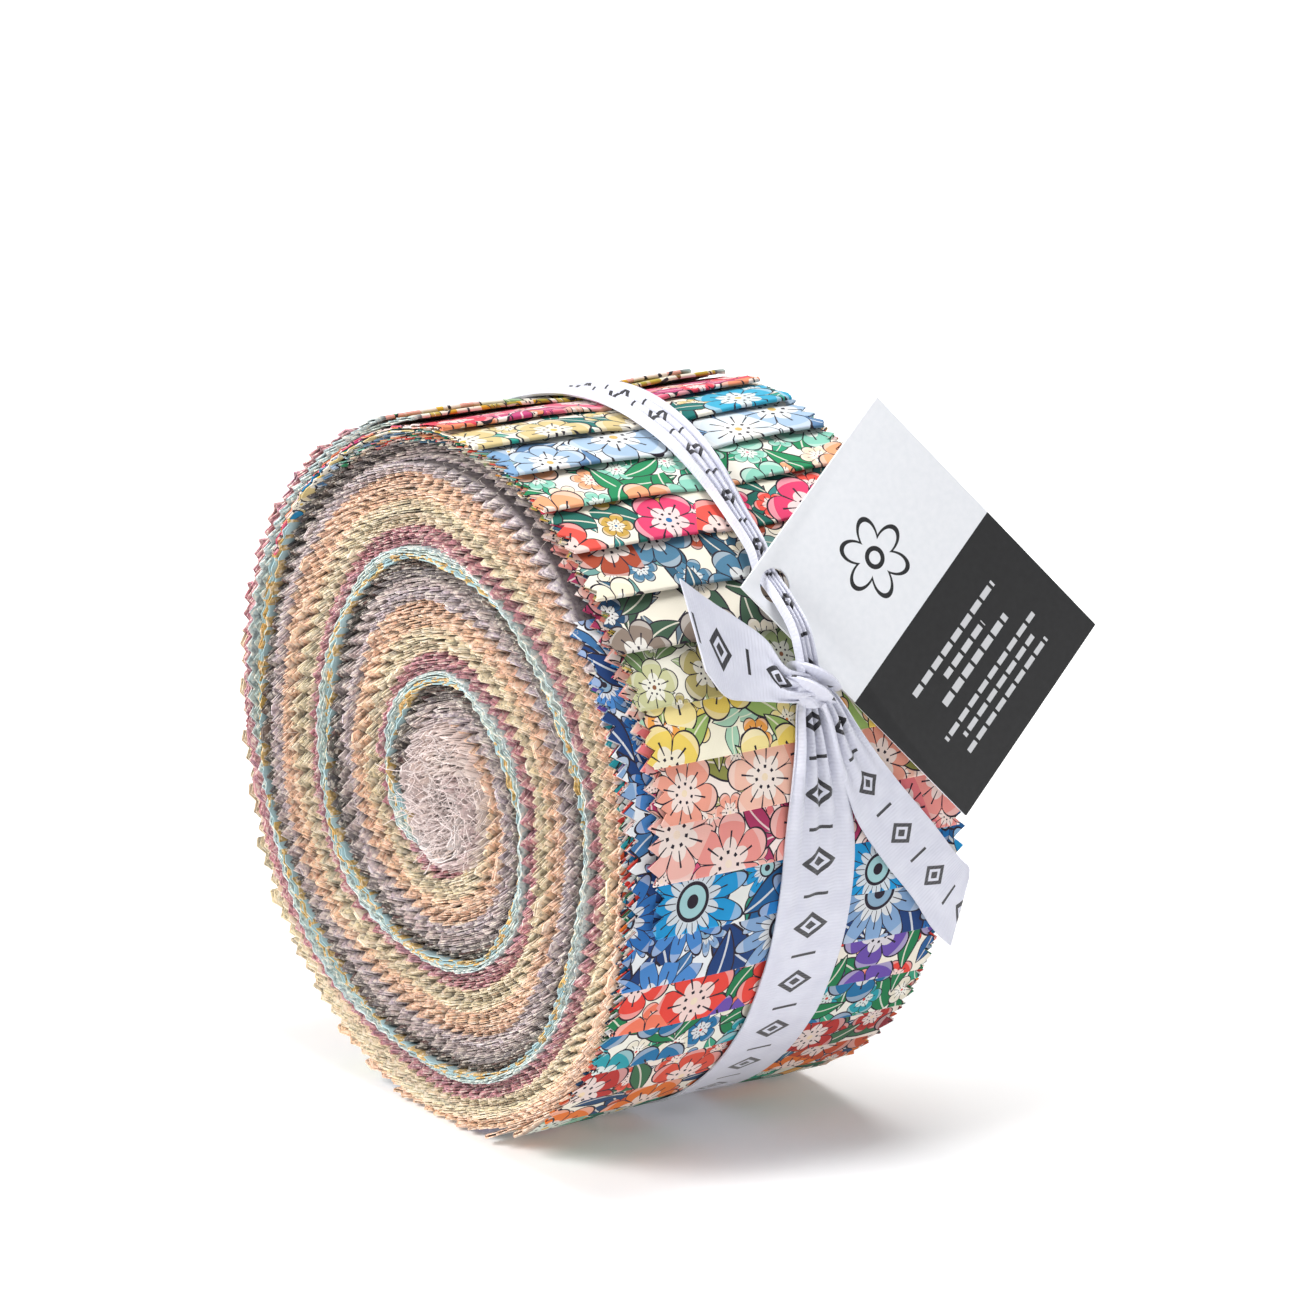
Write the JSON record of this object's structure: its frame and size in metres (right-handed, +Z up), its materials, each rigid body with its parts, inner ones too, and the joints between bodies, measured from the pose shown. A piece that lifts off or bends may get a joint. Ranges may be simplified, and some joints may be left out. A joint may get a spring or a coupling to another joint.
{
  "type": "fabric strip roll",
  "caption": "Roll of folded, pinked cotton quilting strips wound as one spiral, tied with a satin ribbon that carries a punched card hang tag.",
  "frame": {"origin": "Middle of the flat under the ribbon, which the roll rests on. +Z up, +Y along the roll's axis towards its far face, +X towards the side with the knot.", "axes": "+X is horizontal and points out of the side with the knot, +Y runs along the roll's axis from the near face to the far face, +Z is up."},
  "size_m": [0.1233, 0.0942, 0.123],
  "materials": {
    "cotton_blue": "matte printed plain weave, pinked edges",
    "cotton_gold": "matte printed plain weave, pinked edges",
    "cotton_grey": "matte printed plain weave, pinked edges",
    "cotton_peach": "matte printed plain weave, pinked edges",
    "cotton_olive": "matte printed plain weave, pinked edges",
    "cotton_mauve": "matte printed plain weave, pinked edges",
    "ribbon_satin": "satin, finely ribbed",
    "tag_card": "smooth coated card, lower half printed black"
  },
  "bodies": {
    "roll": {"fabric_strip_01": "cotton_grey", "fabric_strip_02": "cotton_grey", "fabric_strip_03": "cotton_grey", "fabric_strip_04": "cotton_grey", "fabric_strip_05": "cotton_grey", "fabric_strip_06": "cotton_grey", "fabric_strip_07": "cotton_peach", "fabric_strip_08": "cotton_peach", "fabric_strip_09": "cotton_peach", "fabric_strip_10": "cotton_peach", "fabric_strip_11": "cotton_peach", "fabric_strip_12": "cotton_peach", "fabric_strip_13": "cotton_peach", "fabric_strip_14": "cotton_olive", "fabric_strip_15": "cotton_olive", "fabric_strip_16": "cotton_olive", "fabric_strip_17": "cotton_olive", "fabric_strip_18": "cotton_olive", "fabric_strip_19": "cotton_olive", "fabric_strip_20": "cotton_olive", "fabric_strip_21": "cotton_olive", "fabric_strip_22": "cotton_olive", "fabric_strip_23": "cotton_mauve", "fabric_strip_24": "cotton_mauve", "fabric_strip_25": "cotton_mauve", "fabric_strip_26": "cotton_mauve", "fabric_strip_27": "cotton_mauve", "fabric_strip_28": "cotton_mauve", "fabric_strip_29": "cotton_mauve", "fabric_strip_30": "cotton_blue", "fabric_strip_31": "cotton_gold", "fabric_strip_32": "cotton_grey", "fabric_strip_33": "cotton_grey", "fabric_strip_34": "cotton_grey", "fabric_strip_35": "cotton_grey", "fabric_strip_36": "cotton_grey", "fabric_strip_37": "cotton_grey", "fabric_strip_38": "cotton_grey", "fabric_strip_39": "cotton_grey", "fabric_strip_40": "cotton_grey"},
    "ribbon": {"ribbon_wrap": "ribbon_satin", "ribbon_neck": "ribbon_satin", "ribbon_lead": "ribbon_satin", "ribbon_knot": "ribbon_satin"},
    "strand": {"ribbon_strand": "ribbon_satin"},
    "tag": {"hang_tag": "tag_card"},
    "tail_left": {"ribbon_tail_left": "ribbon_satin"},
    "tail_right": {"ribbon_tail_right": "ribbon_satin"}
  },
  "joints": [
    {"name": "ribbon_slide", "type": "slide", "parent": "roll", "child": "ribbon", "axis": [0, 1, 0], "range_m": [-0.045, 0.045]},
    {"name": "strand_twist", "type": "hinge", "parent": "ribbon", "child": "strand", "pos_m": [0.04935, 0.0018, 0.09753], "axis": [0.8502, 0, -0.5265], "range_deg": [0, 28]},
    {"name": "tag_swing", "type": "hinge", "parent": "strand", "child": "tag", "pos_m": [0.04935, 0.0018, 0.09753], "axis": [0.9397, 0, 0.342], "range_deg": [-3, 35]},
    {"name": "tail_left_lift", "type": "hinge", "parent": "ribbon", "child": "tail_left", "pos_m": [0.05628, -0.001, 0.08259], "axis": [-0.3513, 0, 0.9363], "range_deg": [0, 50]},
    {"name": "tail_right_lift", "type": "hinge", "parent": "ribbon", "child": "tail_right", "pos_m": [0.05761, 0.0064, 0.07893], "axis": [0.2531, -0.6407, -0.7249], "range_deg": [0, 45]}
  ]
}
